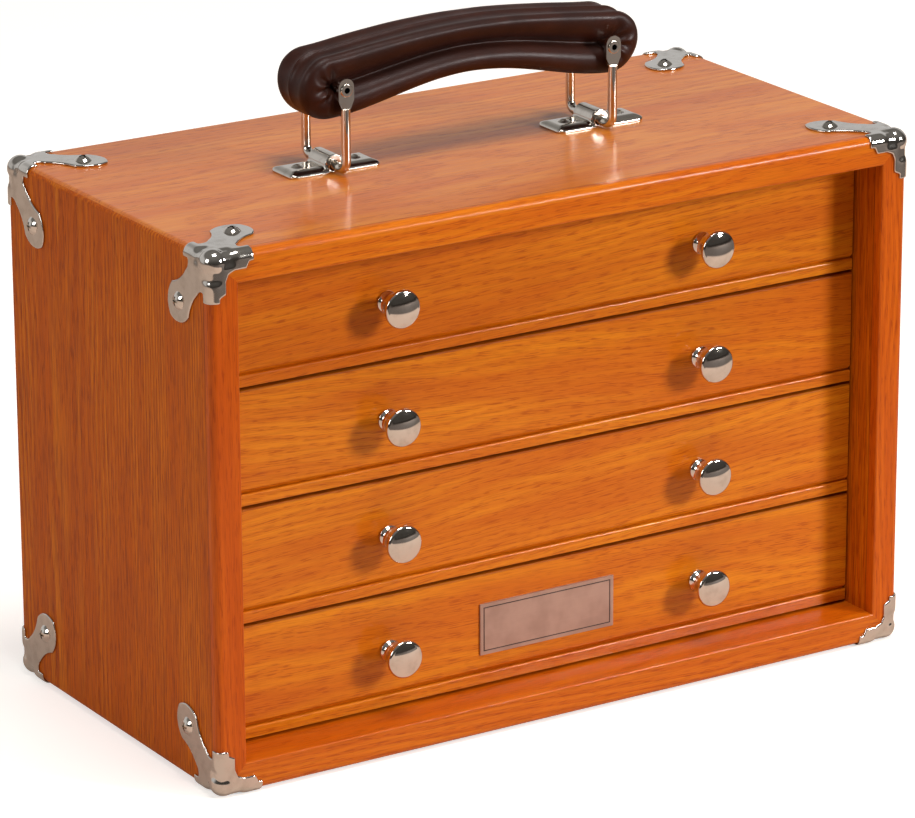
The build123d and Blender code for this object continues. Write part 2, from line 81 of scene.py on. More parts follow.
camera = bpy.data.objects.new("camera", bpy.data.cameras.new("camera"))
bpy.context.scene.collection.objects.link(camera)
camera.data.sensor_width = sensor_width
camera.data.lens = focal_pixels / image_width * sensor_width
camera.data.clip_end = view_end
axes = Matrix((rolled_right, rolled_up, towards_camera)).transposed().to_4x4()
camera.matrix_world = Matrix.Translation(view_point + towards_camera * view_distance) @ axes
bpy.context.scene.camera = camera
print("lens", round(camera.data.lens, 1), "mm")

# %% [markdown]
# ## Small helpers for materials
# A material is a tree of nodes. Adding a node, setting its inputs and linking it takes several
# lines each time, so one helper does all three: a value that is another node's output is linked,
# and any other value is typed into the socket. Colours are easier to judge as they look on a
# screen, so they are given from 0 to 255 and turned into the linear values that light adds up in.

# %% Small helpers for materials
def wire(tree, kind, *values, out=0, **settings):
    """Adds a shader node, fills its inputs in order, and returns one of its outputs."""
    made = tree.nodes.new("ShaderNode" + kind)
    for name, value in settings.items():
        setattr(made, name, value)
    for place, value in enumerate(values):
        if isinstance(value, bpy.types.NodeSocket):
            tree.links.new(value, made.inputs[place])
        elif value is not None:
            made.inputs[place].default_value = value
    return made.outputs[out]


def screen(red, green, blue):
    """A colour as it looks on a screen, from 0 to 255, as linear red, green, blue and alpha."""
    shares = [((c / 255 + 0.055) / 1.055) ** 2.4 if c > 10 else c / 3295 for c in (red, green, blue)]
    return (*shares, 1)


def mixed(tree, share, first, second):
    """Two colours mixed by a share from 0 to 1."""
    values = [share, None, None, None, None, None, first, second]
    return wire(tree, "Mix", *values, out=2, data_type="RGBA")


def ranged(tree, value, low, high, to_low=0.0, to_high=1.0):
    """A value stretched smoothly from one range to another, and held at its ends."""
    return wire(tree, "MapRange", value, low, high, to_low, to_high, interpolation_type="SMOOTHSTEP")


print("a middle grey is", round(screen(128, 128, 128)[0], 3), "in linear light")

# %% [markdown]
# ## Helpers for a finish
# Every finish here is one Principled shader, which describes wood, metal, leather and felt with
# the same few sockets. What is the same all over a surface is typed into its socket, and only
# what changes over the surface comes from a node. A bump node gives relief too small to model.

# %% Helpers for a finish
def new_finish(name):
    """An empty material, its node tree and its Principled shader."""
    material = bpy.data.materials.new(name)
    material.use_nodes = True
    tree = material.node_tree
    return material, tree, tree.nodes["Principled BSDF"]


def fill(tree, shader, **values):
    """Sets or links the shader's sockets; underscores in the names stand for spaces."""
    for name, value in values.items():
        socket = shader.inputs[name.replace("_", " ")]
        if isinstance(value, bpy.types.NodeSocket):
            tree.links.new(value, socket)
        else:
            socket.default_value = value


def speckle(tree, place, per_unit, detail, harshness):
    """Noise with about that many spots to a metre, or to one unit of a place that was stretched."""
    return wire(tree, "TexNoise", place, None, per_unit, detail, harshness)


def relief(tree, height, depth, strength=1.0):
    """A bump normal from a height of 0 to 1 that stands for that depth in metres."""
    return wire(tree, "Bump", strength, depth, None, height)


def finish_node(name, material):
    """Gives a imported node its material."""
    slots = nodes[name].data.materials
    slots.clear()
    slots.append(material)


print("nodes that wait for a finish", len(nodes))

# %% [markdown]
# ## Growth rings and pores
# Oak shows three things at once: growth rings, cut by the board's face into long streaks or
# arches; open pores, which are short dark dashes along the grain; and slow changes of tone. A
# photograph of oak could be wrapped round the boards, but it would stretch at the edges. Here the
# log is modelled instead: the distance from its middle gives the rings, so that a face, an edge
# and an end of one board show the same rings. Slow noise bends the log, and finer noise shakes
# each ring. The pores crowd into the early wood, with which every ring begins.

# %% Growth rings and pores
def streaks(tree, vector, long, wide, detail=2.0, seed=0.0):
    """Noise whose spots are long along X and narrow across it, in millimetres."""
    stretched = wire(tree, "Mapping", vector, (seed, seed, seed), None, (1 / long, 1 / wide, 1 / wide))
    return speckle(tree, stretched, 1.0, detail, 0.55)


def growth_rings(tree, board, ring, wander):
    """The rings of a log along X: 1 in the early wood of each ring, and 0 late in it."""
    bend = streaks(tree, board, 110, 30, 1.0)
    shiver = streaks(tree, board, 24, 5, 2.0, 7.0)
    across = wire(tree, "VectorMath", board, (0.0, 1.0, 1.0), operation="MULTIPLY")
    reach = wire(tree, "VectorMath", across, out=1, operation="LENGTH")
    bent = wire(tree, "Math", bend, wander * 2, reach, operation="MULTIPLY_ADD")
    shaken = wire(tree, "Math", shiver, ring * 0.6, bent, operation="MULTIPLY_ADD")
    turn = wire(tree, "Math", shaken, 1 / ring, operation="MULTIPLY")
    phase = wire(tree, "Math", turn, operation="FRACT")
    early = ranged(tree, phase, 0.0, 0.14)
    late = ranged(tree, phase, 0.25, 0.85, 1.0, 0.0)
    return wire(tree, "Math", early, late, operation="MULTIPLY")


def open_pores(tree, board, rings):
    """Short dashes along the grain, fewer of them where the rings are weak."""
    dashes = streaks(tree, board, 8, 0.5, 1.0, 19.0)
    pored = ranged(tree, dashes, 0.52, 0.62)
    where = ranged(tree, rings, 0.0, 0.8, 0.3, 1.0)
    return wire(tree, "Math", pored, where, operation="MULTIPLY")


# How a Mapping node has to turn a board for its grain to run along X.
lengthways = (0, 0, 0)
upright = (0, math.pi / 2, 0)
front_to_back = (0, 0, -math.pi / 2)
print("ways for the grain to run", len((lengthways, upright, front_to_back)))

# %% [markdown]
# ## Lacquered oak
# A Mapping node lays the log beside the board. The rings, the fine fibres and the pores then
# darken the wood in that order, and the pores sink the surface a little. The lacquer is a clear
# coat over all of it, thick on the top and the drawers and very thin on the sides. Two places are
# darkened: the joint between a panel and the strip in front of it, which collects dirt and shows
# as a fine dark line, and the top edge of a drawer front, in the gap below the next drawer, where
# the darkening is painted shade and the shine is taken off.

# %% Lacquered oak
# One dark colour serves both: dirt in a joint line, and painted shade in the gap over a drawer front.
joint_dirt_and_gap_shade = screen(110, 44, 6)
joint_dirt_and_gap_shade_share = 0.6
joint_line = (0.3 * mm, 0.8 * mm)  # behind a panel's front: dark up to here, clear from here
# The strip of painted shade in the gap over a drawer front:
gap_shade_strip = (-1.0 * mm, -0.5 * mm)  # below a drawer front's top: clear up to here, dark from here


def oak(name, grain, light, middle, dark, log, ring=3.4, wander=9.0, pores=0.55, fibre=0.3,
        rings_show=0.75, coat=0.35, gloss=0.1, shaded_top_edge=None, front_edge=None):
    """Oak; the log is (along, in, up, lean) in mm and degrees, ring and wander are in mm."""
    material, tree, shader = new_finish(name)
    along, inwards, up, lean = log
    place = wire(tree, "TexCoord", out=3)
    turned = wire(tree, "Mapping", place, None, grain, (1 / mm, 1 / mm, 1 / mm))
    board = wire(tree, "Mapping", turned, (along, inwards, up), (0, math.radians(lean), 0), None)
    rings = growth_rings(tree, board, ring, wander)
    pore = open_pores(tree, board, rings)
    tone = streaks(tree, board, 160, 14, 2.0, 3.0)  # slow changes over the board
    strips = streaks(tree, board, 22, 0.6, 2.0, 23.0)  # fibres

    colour = mixed(tree, ranged(tree, tone, 0.32, 0.68), light, middle)
    ringed = wire(tree, "Math", rings, rings_show, operation="MULTIPLY")
    colour = mixed(tree, ringed, colour, middle)
    stripe = ranged(tree, strips, 0.42, 0.7, 0.0, fibre)
    colour = mixed(tree, stripe, colour, dark)
    inked = wire(tree, "Math", pore, pores, operation="MULTIPLY")
    colour = mixed(tree, inked, colour, dark)

    if front_edge is not None:
        depth = wire(tree, "SeparateXYZ", place, out=1)
        limits = [front_edge + from_front for from_front in joint_line]
        colour = mixed(tree, ranged(tree, depth, *limits, joint_dirt_and_gap_shade_share, 0.0), colour, joint_dirt_and_gap_shade)
    # Painted shade: the strip under a drawer front's top edge, in the gap below the next drawer, is
    # darkened and its coat taken off.
    if shaded_top_edge is not None:
        height = wire(tree, "SeparateXYZ", place, out=2)
        limits = [shaded_top_edge + from_top for from_top in gap_shade_strip]
        colour = mixed(tree, ranged(tree, height, *limits, 0.0, joint_dirt_and_gap_shade_share), colour, joint_dirt_and_gap_shade)
        coat = ranged(tree, height, *limits, coat, 0.0)

    sunk = wire(tree, "Math", pore, -1.0, strips, operation="MULTIPLY_ADD")
    bumped = relief(tree, sunk, 0.05 * mm, 0.35)
    fill(
        tree, shader, Base_Color=colour, Roughness=ranged(tree, strips, 0.3, 0.7, 0.5, 0.38),
        Specular_IOR_Level=0.1, Coat_Weight=coat, Coat_Roughness=gloss, Coat_IOR=1.5,
        Normal=bumped, Coat_Normal=bumped,
    )
    return material


print("a joint line is", round((joint_line[1] - joint_line[0]) / mm, 1), "mm soft")

# %% [markdown]
# ## A log for each board
# Boards from one log look alike, but no two show the same figure. Each finish therefore has its
# own place in the log: far from the middle the rings come out as straight streaks, and near it
# they open into arches. The sides are reddish with fine, even rings, the top is a little paler,
# the drawer fronts are golden, and the insides of the drawers are a plain pale wood without
# lacquer.

# %% A log for each board
top_oak = oak(
    "top_oak", lengthways, screen(212, 126, 38), screen(198, 102, 26), screen(148, 62, 10),
    (0, 40, -330, 0.6), fibre=0.25, rings_show=0.5, coat=0.5, gloss=0.2,
    front_edge=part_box("top_panel")[0].y,
)
side_oak = oak(
    "side_oak", upright, screen(204, 108, 10), screen(186, 84, 2), screen(132, 50, 0),
    (60, -40, -108, 0.6), ring=1.7, wander=1.6, pores=0.7, fibre=0.7, rings_show=1.0,
    coat=0.03, gloss=0.25, front_edge=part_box("left_panel")[0].y,
)
edge_oak = oak(
    "edge_oak", lengthways, screen(214, 116, 12), screen(198, 92, 6), screen(152, 58, 2),
    (300, 130, -260, 1.4), coat=0.22, gloss=0.16,
)
sill_oak = oak(
    "sill_oak", lengthways, screen(202, 104, 10), screen(186, 84, 4), screen(142, 52, 0),
    (520, 80, 140, -1.0), coat=0.3, gloss=0.16,
)
stile_oak = oak(
    "stile_oak", upright, screen(204, 96, 6), screen(184, 76, 2), screen(138, 46, 0),
    (120, 90, 60, 0.8), coat=0.2, gloss=0.16,
)
drawer_logs = {
    1: (40, 74, -150, 2.5),
    2: (-90, 34, -196, -4.0),
    3: (210, 66, -12, 3.0),
    4: (330, 96, -60, -1.5),
}
drawer_oaks = {
    number: oak(
        f"drawer_{number}_oak", lengthways, screen(216, 124, 12), screen(196, 96, 6),
        screen(150, 56, 0), log, rings_show=0.5, shaded_top_edge=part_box(f"drawer_{number}_front")[1].z,
    )
    for number, log in drawer_logs.items()
}
pale_wood = (screen(214, 178, 126), screen(196, 156, 104), screen(150, 110, 66))
box_wood = oak(
    "box_wood", front_to_back, *pale_wood, (0, 20, 90, 1.0), ring=6.0, pores=0.3, coat=0.0,
)
cross_wood = oak(
    "cross_wood", lengthways, *pale_wood, (70, 30, 120, 1.0), ring=6.0, pores=0.3, coat=0.0,
)

boards = [
    (top_oak, ["top_panel", "back_panel"]),
    (sill_oak, ["bottom_panel", "bottom_edging"]),
    (side_oak, ["left_panel", "right_panel"]),
    (edge_oak, ["top_edging"]),
    (stile_oak, ["left_edging", "right_edging"]),
    (box_wood, ["left_runners", "right_runners"]),
]
for number, material in drawer_oaks.items():
    drawer = f"drawer_{number}_"
    boards.append((material, [drawer + "front"]))
    boards.append((box_wood, [drawer + "left_side", drawer + "right_side"]))
    boards.append((cross_wood, [drawer + "back", drawer + "floor"]))
for material, names in boards:
    for name in names:
        finish_node(name, material)
print("wooden nodes", sum(len(names) for material, names in boards))

# %% [markdown]
# ## Nickel plate
# Polished nickel is a warm grey mirror. What makes it look like metal is what it reflects, so the
# shader stays simple: fully metallic, with a low roughness that changes a little over the surface
# as polish and handling leave it, and a very slight unevenness that bends the reflections. The
# turned knobs are the brightest, and the screws and the saddles are a little duller.

# %% Nickel plate
def nickel(name, colour, smooth, worn, wave=0.02):
    """Polished plated metal, its roughness between two values and its waves in millimetres."""
    material, tree, shader = new_finish(name)
    place = wire(tree, "TexCoord", out=3)
    haze = speckle(tree, place, 160.0, 4.0, 0.6)
    swell = speckle(tree, place, 90.0, 2.0, 0.5)
    scuff = speckle(tree, place, 2400.0, 2.0, 0.7)
    rough = ranged(tree, haze, 0.35, 0.75, smooth, worn)
    tint = mixed(tree, ranged(tree, haze, 0.4, 0.8, 0.0, 0.35), colour, screen(150, 138, 124))
    uneven = wire(tree, "Math", scuff, 0.04, swell, operation="MULTIPLY_ADD")
    fill(
        tree, shader, Base_Color=tint, Metallic=1.0, Roughness=rough,
        Normal=relief(tree, uneven, wave * mm, 1.0),
    )
    return material


fitting_nickel = nickel("fitting_nickel", screen(214, 208, 200), 0.07, 0.16, 0.05)
turned_nickel = nickel("turned_nickel", screen(222, 215, 206), 0.035, 0.08, 0.01)
wire_nickel = nickel("wire_nickel", screen(216, 208, 198), 0.08, 0.18)
saddle_nickel = nickel("saddle_nickel", screen(214, 206, 196), 0.13, 0.2)
screw_nickel = nickel("screw_nickel", screen(228, 220, 210), 0.26, 0.38)
screw_steel = nickel("screw_steel", screen(176, 172, 166), 0.2, 0.34)
metals = (fitting_nickel, turned_nickel, wire_nickel, saddle_nickel, screw_nickel, screw_steel)

for name in nodes:
    if name.endswith("_corner") or name.startswith("saddle"):
        finish_node(name, fitting_nickel)
    elif name.endswith("_knobs") or name == "corner_screws":
        finish_node(name, turned_nickel)
    elif name.startswith("bail") or name == "grip_pins":
        finish_node(name, wire_nickel)
    elif name.endswith("_knob_screws"):
        finish_node(name, screw_steel)
finish_node("saddle_screws", screw_nickel)
print("metal finishes", len(metals))

# %% [markdown]
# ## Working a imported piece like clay
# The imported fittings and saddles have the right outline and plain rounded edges, but the press
# that stamps the real ones leaves softer, fuller shapes. They could be modelled anew from boxes,
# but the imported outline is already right. So a piece is copied, its loose triangles are merged,
# and a Remesh modifier gives it small even faces, whose points can then be moved one by one.
# Mirror-bright metal shows every flaw, so the worked copy is smoothed last.

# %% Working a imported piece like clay
merge_reach = 0.001 * mm


def worked_copy(name, face_size):
    """A closed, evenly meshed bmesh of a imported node, and its new object."""
    shape = bmesh.new()
    shape.from_mesh(nodes[name].data)
    bmesh.ops.remove_doubles(shape, verts=shape.verts, dist=merge_reach)
    mesh = bpy.data.meshes.new(name + "_pressed")
    shape.to_mesh(mesh)
    shape.free()
    piece = bpy.data.objects.new(name + "_pressed", mesh)
    bpy.context.scene.collection.objects.link(piece)
    even = piece.modifiers.new("even faces", "REMESH")
    even.mode = "VOXEL"
    even.voxel_size = face_size
    seen = piece.evaluated_get(bpy.context.evaluated_depsgraph_get())
    shape = bmesh.new()
    shape.from_mesh(seen.to_mesh())
    piece.modifiers.clear()
    return piece, shape


def finish_worked(piece, shape, material, rounds):
    """Smooths a worked shape and puts it in its object."""
    every_way = {"use_axis_x": True, "use_axis_y": True, "use_axis_z": True}
    for _ in range(rounds):
        bmesh.ops.smooth_vert(shape, verts=shape.verts, factor=0.5, **every_way)
    shape.to_mesh(piece.data)
    shape.free()
    for face in piece.data.polygons:
        face.use_smooth = True
    piece.data.materials.clear()
    piece.data.materials.append(material)


worked_names = [name for name in sorted(nodes) if name.endswith("_corner")]
print("fittings to work", len(worked_names))

# %% [markdown]
# ## Corner fittings
# A fitting is pressed from one piece of sheet. The press leaves a ball over the point of the
# corner and a narrow waist beside it on each edge, and after the waist the sheet comes back to
# its full size. Each point moves along the direction in which the surface faces: out to a sphere
# near the corner, and in at the waists. Where the two shapes meet, a short blend keeps the crease
# soft. The numbers are millimetres, measured inwards from the fitting's three outer faces.

# %% Corner fittings
fitting_face_size = 0.35 * mm
fitting_smoothing = 3
side_plane = 169.0  # the outer faces of the fittings, from the middle of the base
top_plane = 228.0
base_plane = 0.0
half_way_up = 0.11  # metres
edge_round = 4.2
ball_radius = 5.6
ball_stands_out = 0.5
ball_blend = 0.25
waist_from_corner = 10.8
waist_width = 1.7
waist_depth = 0.72
waist_full, waist_gone = 3.6, 7.6  # across the edge
press_across, press_along = 9.0, 17.0  # the press leaves what is further from the corner
least_pull = 0.2  # points deeper in have no outer face to follow
out_of_reach = -9.0


def eased(value, low, high):
    """0 below low, 1 above high, and a smooth rise between."""
    share = max(0.0, min(1.0, (value - low) / (high - low)))
    return share * share * (3 - 2 * share)


def rise_to_ball(spot, outwards, ball):
    """How far a point moves outwards to the ball's surface."""
    off = spot - ball
    towards = outwards.dot(off)
    reached = towards * towards - (off.length_squared - ball_radius ** 2)
    return -towards + math.sqrt(reached) if reached > 0 else out_of_reach


def greater(low_one, high_one, blend):
    """The greater of two heights, with a soft change where they are closer than the blend."""
    gap = high_one - low_one
    if gap > blend:
        return low_one + gap
    if gap < -blend:
        return low_one
    return low_one + (gap + blend) ** 2 / (4 * blend)


def press_corner(shape, signs, planes):
    """Forms the ball and the waists; signs point outwards and planes are the outer faces."""
    # Y and the lower faces are the limits of the whole object, so there the ball only touches.
    room = (ball_stands_out, 0.0, ball_stands_out if signs.z > 0 else 0.0)
    ball = Vector([ball_radius - out for out in room])
    for vertex in shape.verts:
        inside = Vector([(plane - sign * at / mm) for plane, sign, at in zip(planes, signs, vertex.co)])
        middle, far = sorted(inside)[1:]
        if middle > press_across or far > press_along:
            continue
        outwards = Vector([-max(edge_round - reach, 0.0) for reach in inside])
        depth = edge_round - outwards.length
        if outwards.length < least_pull:
            continue
        outwards.normalize()
        past_waist = max(far - waist_from_corner, 0.0) / waist_width
        on_edge = 1 - eased(middle, waist_full, waist_gone)
        waist = -waist_depth * on_edge * math.exp(-(past_waist ** 2))
        rise = rise_to_ball(inside + outwards * depth, outwards, ball)
        moved = outwards * greater(waist, rise, ball_blend)
        vertex.co -= Vector([sign * step * mm for sign, step in zip(signs, moved)])


def make_fitting(name):
    """One pressed corner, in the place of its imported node."""
    low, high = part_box(name)
    middle = (low + high) / 2
    signs = Vector((
        1 if middle.x > 0 else -1,
        1 if middle.y > 0 else -1,
        1 if middle.z > half_way_up else -1,
    ))
    depth_plane = high.y / mm if signs.y > 0 else -low.y / mm
    planes = (side_plane, depth_plane, top_plane if signs.z > 0 else base_plane)
    piece, shape = worked_copy(name, fitting_face_size)
    press_corner(shape, signs, planes)
    finish_worked(piece, shape, fitting_nickel, fitting_smoothing)
    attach(piece, "case")
    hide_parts(name)
    return piece


fittings = [make_fitting(name) for name in worked_names]
print("fittings", len(fittings), "faces in one", len(fittings[0].data.polygons))

# %% [markdown]
# ## Saddles
# A saddle is a small stamped plate that holds a bail's bar under a half-round hump. Its plate is
# flat round the screws and slopes down to a thin edge on all sides, and its corners are round.
# The same clay method gives both: the points near the corners are drawn in from a square plan to
# a round one, and the points of the plate sink more the nearer they are to its edge.

# %% Saddles
saddle_face_size = 0.3 * mm
saddle_smoothing = 2
plate_top = 2.6  # millimetres, like those below
plate_foot = 0.3
hump_starts = plate_top + 0.4
slope_drop = 1.55
slope_curve = 1.5
side_slope = 4.6
end_slope = 3.4
corner_round = 3.0


def round_the_plan(vertex, middle, half_length, half_width):
    """Draws a point near a square corner in, so that its greater distance becomes the radius."""
    past = Vector((
        max(abs(vertex.co.x - middle.x) / mm - half_length + corner_round, 0.0),
        max(abs(vertex.co.y - middle.y) / mm - half_width + corner_round, 0.0),
    ))
    if min(past) > 0:
        kept = 1 - max(past) / past.length
        vertex.co.x -= math.copysign(past.x * kept * mm, vertex.co.x - middle.x)
        vertex.co.y -= math.copysign(past.y * kept * mm, vertex.co.y - middle.y)


def make_saddle(name):
    """A saddle with a sloped plate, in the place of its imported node."""
    low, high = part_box(name)
    middle = (low + high) / 2
    half_length = (high.x - low.x) / 2 / mm
    half_width = (high.y - low.y) / 2 / mm
    piece, shape = worked_copy(name, saddle_face_size)
    for vertex in shape.verts:
        round_the_plan(vertex, middle, half_length, half_width)
        up = (vertex.co.z - low.z) / mm
        if up < plate_foot or up > hump_starts:
            continue
        past_side = (abs(vertex.co.y - middle.y) / mm - half_width + side_slope) / side_slope
        past_end = (abs(vertex.co.x - middle.x) / mm - half_length + end_slope) / end_slope
        past = max(past_side, past_end, 0.0)
        vertex.co.z -= slope_drop * past ** slope_curve * min(1.0, up / plate_top) * mm
    finish_worked(piece, shape, saddle_nickel, saddle_smoothing)
    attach(piece, "case")
    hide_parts(name)
    return piece


saddles = [make_saddle(name) for name in ("saddle_left", "saddle_right")]
print("saddle faces", len(saddles[0].data.polygons))

# %% [markdown]
# ## Turned knobs
# A knob is turned on a lathe, so its shape is one profile, and a lathe's counterpart in Blender is
# the spin operator: the profile goes once round the axis, and use_merge closes the seam. The
# profile is a chain of arcs from the foot to the crown, each through three points. The crown ends
# on the axis, where the ring closes to a point, so the doubles there are merged and the normals
# worked out afresh.

# %% Turned knobs
def new_piece(name, shape, material):
    """A smooth-shaded object with one material, made from a bmesh that is freed."""
    mesh = bpy.data.meshes.new(name)
    shape.to_mesh(mesh)
    shape.free()
    for face in mesh.polygons:
        face.use_smooth = True
    mesh.materials.append(material)
    piece = bpy.data.objects.new(name, mesh)
    bpy.context.scene.collection.objects.link(piece)
    return piece


def arc(start, through, end, steps):
    """Points on the circle through three points in a plane, without the last one."""
    (ax, ay), (bx, by), (cx, cy) = start, through, end
    d = 2 * (ax * (by - cy) + bx * (cy - ay) + cx * (ay - by))
    a2, b2, c2 = ax * ax + ay * ay, bx * bx + by * by, cx * cx + cy * cy
    ux = (a2 * (by - cy) + b2 * (cy - ay) + c2 * (ay - by)) / d
    uy = (a2 * (cx - bx) + b2 * (ax - cx) + c2 * (bx - ax)) / d
    first, middle, last = (math.atan2(y - uy, x - ux) for x, y in (start, through, end))
    # The angles are unwound, so that the arc goes through the middle point and not round the back.
    middle = first + math.remainder(middle - first, math.tau)
    last = middle + math.remainder(last - middle, math.tau)
    radius = math.hypot(ax - ux, ay - uy)
    turns = [first + (last - first) * step / steps for step in range(steps)]
    return [(ux + radius * math.cos(turn), uy + radius * math.sin(turn)) for turn in turns]


knob_foot = 4.7  # radii and heights in millimetres
foot_lip, foot_height = 0.3, 1.0
knob_neck = 2.9
neck_height = 5.5
knob_head = 8.1
rim_back, rim_front = 10.7, 13.3
back_radius = knob_head - 1.6
crown_radius = knob_head - 1.2
knob_projection = 14.5
knob_spacing = 153.0
spin_steps = 72
crown_steps = 28
crown = arc((crown_radius, rim_front), (0.0, knob_projection), (-crown_radius, rim_front), crown_steps)
knob_profile = (
    [(0.0, 0.0), (knob_foot - foot_lip, 0.0)]
    + arc((knob_foot, foot_lip), (knob_foot + 0.12, 0.6), (knob_foot, foot_height), 4)
    + arc((knob_foot, foot_height), (knob_neck + 0.5, 2.75), (knob_neck, neck_height), 12)
    + arc((knob_neck, neck_height), (knob_neck + 0.8, rim_back - 1.2), (back_radius, rim_back), 12)
    + arc((back_radius, rim_back), (knob_head, rim_back + 1.3), (crown_radius, rim_front), 14)
    + crown[:crown_steps // 2]
    + [(0.0, knob_projection)]
)


def turn_knobs(number):
    """Both knobs of one drawer."""
    low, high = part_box(f"drawer_{number}_knobs")
    shape = bmesh.new()
    for side in (-1, 1):
        axis_at = Vector((side * knob_spacing / 2 * mm, high.y, (low.z + high.z) / 2))
        chain = [shape.verts.new(axis_at + Vector((out * mm, -up * mm, 0))) for out, up in knob_profile]
        edges = [shape.edges.new(pair) for pair in zip(chain, chain[1:])]
        bmesh.ops.spin(
            shape, geom=chain + edges, cent=axis_at, axis=(0, 1, 0), angle=2 * math.pi,
            steps=spin_steps, use_merge=True,
        )
    bmesh.ops.remove_doubles(shape, verts=shape.verts, dist=merge_reach)
    bmesh.ops.recalc_face_normals(shape, faces=shape.faces)
    piece = new_piece(f"drawer_{number}_turned_knobs", shape, turned_nickel)
    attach(piece, f"drawer_{number}")
    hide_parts(f"drawer_{number}_knobs")
    return len(piece.data.polygons)


for number in drawer_logs:
    knob_faces = turn_knobs(number)
print("faces in a pair of knobs", knob_faces)

# %% [markdown]
# ## The plate on the lowest drawer
# A thin satin plate with a fine dark line inside its border. It is brushed along its length,
# which very long, narrow noise gives. The dark line keeps one distance from the plate's edges,
# and that distance is worked out from the node's box: a point's distance from the middle is
# folded into one quarter of the plate and taken from the plate's half size.

# %% The plate on the lowest drawer
line_inset = 1.5 * mm
line_width = 0.5 * mm


def satin_plate():
    """Satin metal with a painted line that follows the plate's border."""
    material, tree, shader = new_finish("satin_plate")
    low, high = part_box("label_plate")
    middle = (low + high) / 2
    half = (high - low) / 2
    place = wire(tree, "TexCoord", out=3)
    centred = wire(tree, "VectorMath", place, tuple(middle), operation="SUBTRACT")
    folded = wire(tree, "VectorMath", centred, operation="ABSOLUTE")
    to_edge = wire(tree, "VectorMath", tuple(half), folded, operation="SUBTRACT")
    to_end = wire(tree, "SeparateXYZ", to_edge, out=0)
    to_top = wire(tree, "SeparateXYZ", to_edge, out=2)
    nearest = wire(tree, "Math", to_end, to_top, operation="MINIMUM")
    from_line = wire(tree, "Math", nearest, line_inset + line_width / 2, operation="SUBTRACT")
    off_line = wire(tree, "Math", from_line, operation="ABSOLUTE")
    line = wire(tree, "Math", off_line, line_width / 2, operation="LESS_THAN")
    brushed = wire(tree, "Mapping", place, None, None, (60, 900, 9000))
    hairs = speckle(tree, brushed, 1.0, 3.0, 0.6)
    cloudy = speckle(tree, place, 60.0, 3.0, 0.6)
    silver = mixed(tree, ranged(tree, cloudy, 0.3, 0.7), screen(192, 160, 146), screen(174, 143, 130))
    colour = mixed(tree, line, silver, screen(52, 34, 28))
    fill(
        tree, shader, Base_Color=colour, Metallic=ranged(tree, line, 0.0, 1.0, 0.85, 0.0),
        Roughness=ranged(tree, hairs, 0.3, 0.7, 0.34, 0.5),
        Normal=relief(tree, hairs, 0.02 * mm, 0.6),
    )
    return material


finish_node("label_plate", satin_plate())
plate_low, plate_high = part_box("label_plate")
print("plate", [round(side / mm, 1) for side in plate_high - plate_low], "mm")

# %% [markdown]
# ## Leather
# The grip is dark brown leather, smooth from handling, with a fine pebble that shows only where
# light grazes it. Small cells from a Voronoi texture make the pebble. The folds and ridges are
# not painted here: they are in the mesh.

# %% Leather
def leather():
    """Dark pebbled leather with a low, soft shine."""
    material, tree, shader = new_finish("brown_leather")
    place = wire(tree, "TexCoord", out=3)
    cells = wire(tree, "TexVoronoi", place, None, 1500.0, 2.0, 0.6, feature="SMOOTH_F1")
    creases = speckle(tree, place, 700.0, 5.0, 0.65)
    cloudy = speckle(tree, place, 55.0, 4.0, 0.6)
    colour = mixed(tree, ranged(tree, cloudy, 0.3, 0.72), screen(56, 27, 19), screen(42, 18, 12))
    colour = mixed(tree, ranged(tree, creases, 0.5, 0.7, 0.0, 0.4), colour, screen(32, 15, 10))
    pebble = wire(tree, "Math", cells, 0.6, creases, operation="MULTIPLY_ADD")
    fill(
        tree, shader, Base_Color=colour, Roughness=ranged(tree, cloudy, 0.3, 0.7, 0.36, 0.48),
        Specular_IOR_Level=0.22,
        Normal=relief(tree, pebble, 0.08 * mm, 0.5),
    )
    return material


brown_leather = leather()
print("leather nodes", len(brown_leather.node_tree.nodes))

# %% [markdown]
# ## The outline of the grip
# Seen from the front the grip is an arched bar with full round ends, and a long hollow runs
# inside it from eye to eye. Both lines are made of the same number of points, in pairs: one on
# the outline and one on the hollow's line. Everything between them can then be found by going
# part of the way from the first to the second.

# %% The outline of the grip
eye_x = 65.0  # millimetres, like all the grip's sizes
eye_z = 263.4
end_x = 68.6  # the middle of a round end
end_radius = 13.7
hollow_end = eye_x + 1.0
top_rise, top_fullness = 5.2, 0.55
under_rise, under_fullness = 10.5, 0.85
hollow_rise, hollow_fullness = 8.0, 0.7
run_steps = 30
end_steps = 34


def arch(x, rise, span, fullness):
    """Height of a shallow arch over a span, x millimetres from its middle."""
    return rise * math.cos(math.pi / 2 * x / span) ** (2 * fullness)


def round_the_grip():
    """Pairs of points round the outline and on the hollow's line, with how far each faces up."""
    marks = []
    for side, rise, fullness in ((1, top_rise, top_fullness), (-1, under_rise, under_fullness)):
        for step in range(run_steps):
            x = side * (-end_x + 2 * end_x * step / run_steps)
            up = side * end_radius + arch(x, rise, end_x, fullness)
            marks.append((Vector((x, 0, eye_z + up)), x, float(side)))
        for step in range(end_steps):
            angle = side * math.pi / 2 - math.pi * step / end_steps
            round_x = side * end_x + end_radius * math.cos(angle)
            outline = Vector((round_x, 0, eye_z + end_radius * math.sin(angle)))
            marks.append((outline, side * end_x, math.sin(angle)))
    found = []
    for outline, x, facing in marks:
        held = max(-hollow_end, min(hollow_end, x * hollow_end / end_x))
        inner = Vector((held, 0, eye_z + arch(held, hollow_rise, hollow_end, hollow_fullness)))
        found.append((outline, inner, facing))
    return found


round_points = round_the_grip()
print("points round the grip", len(round_points))

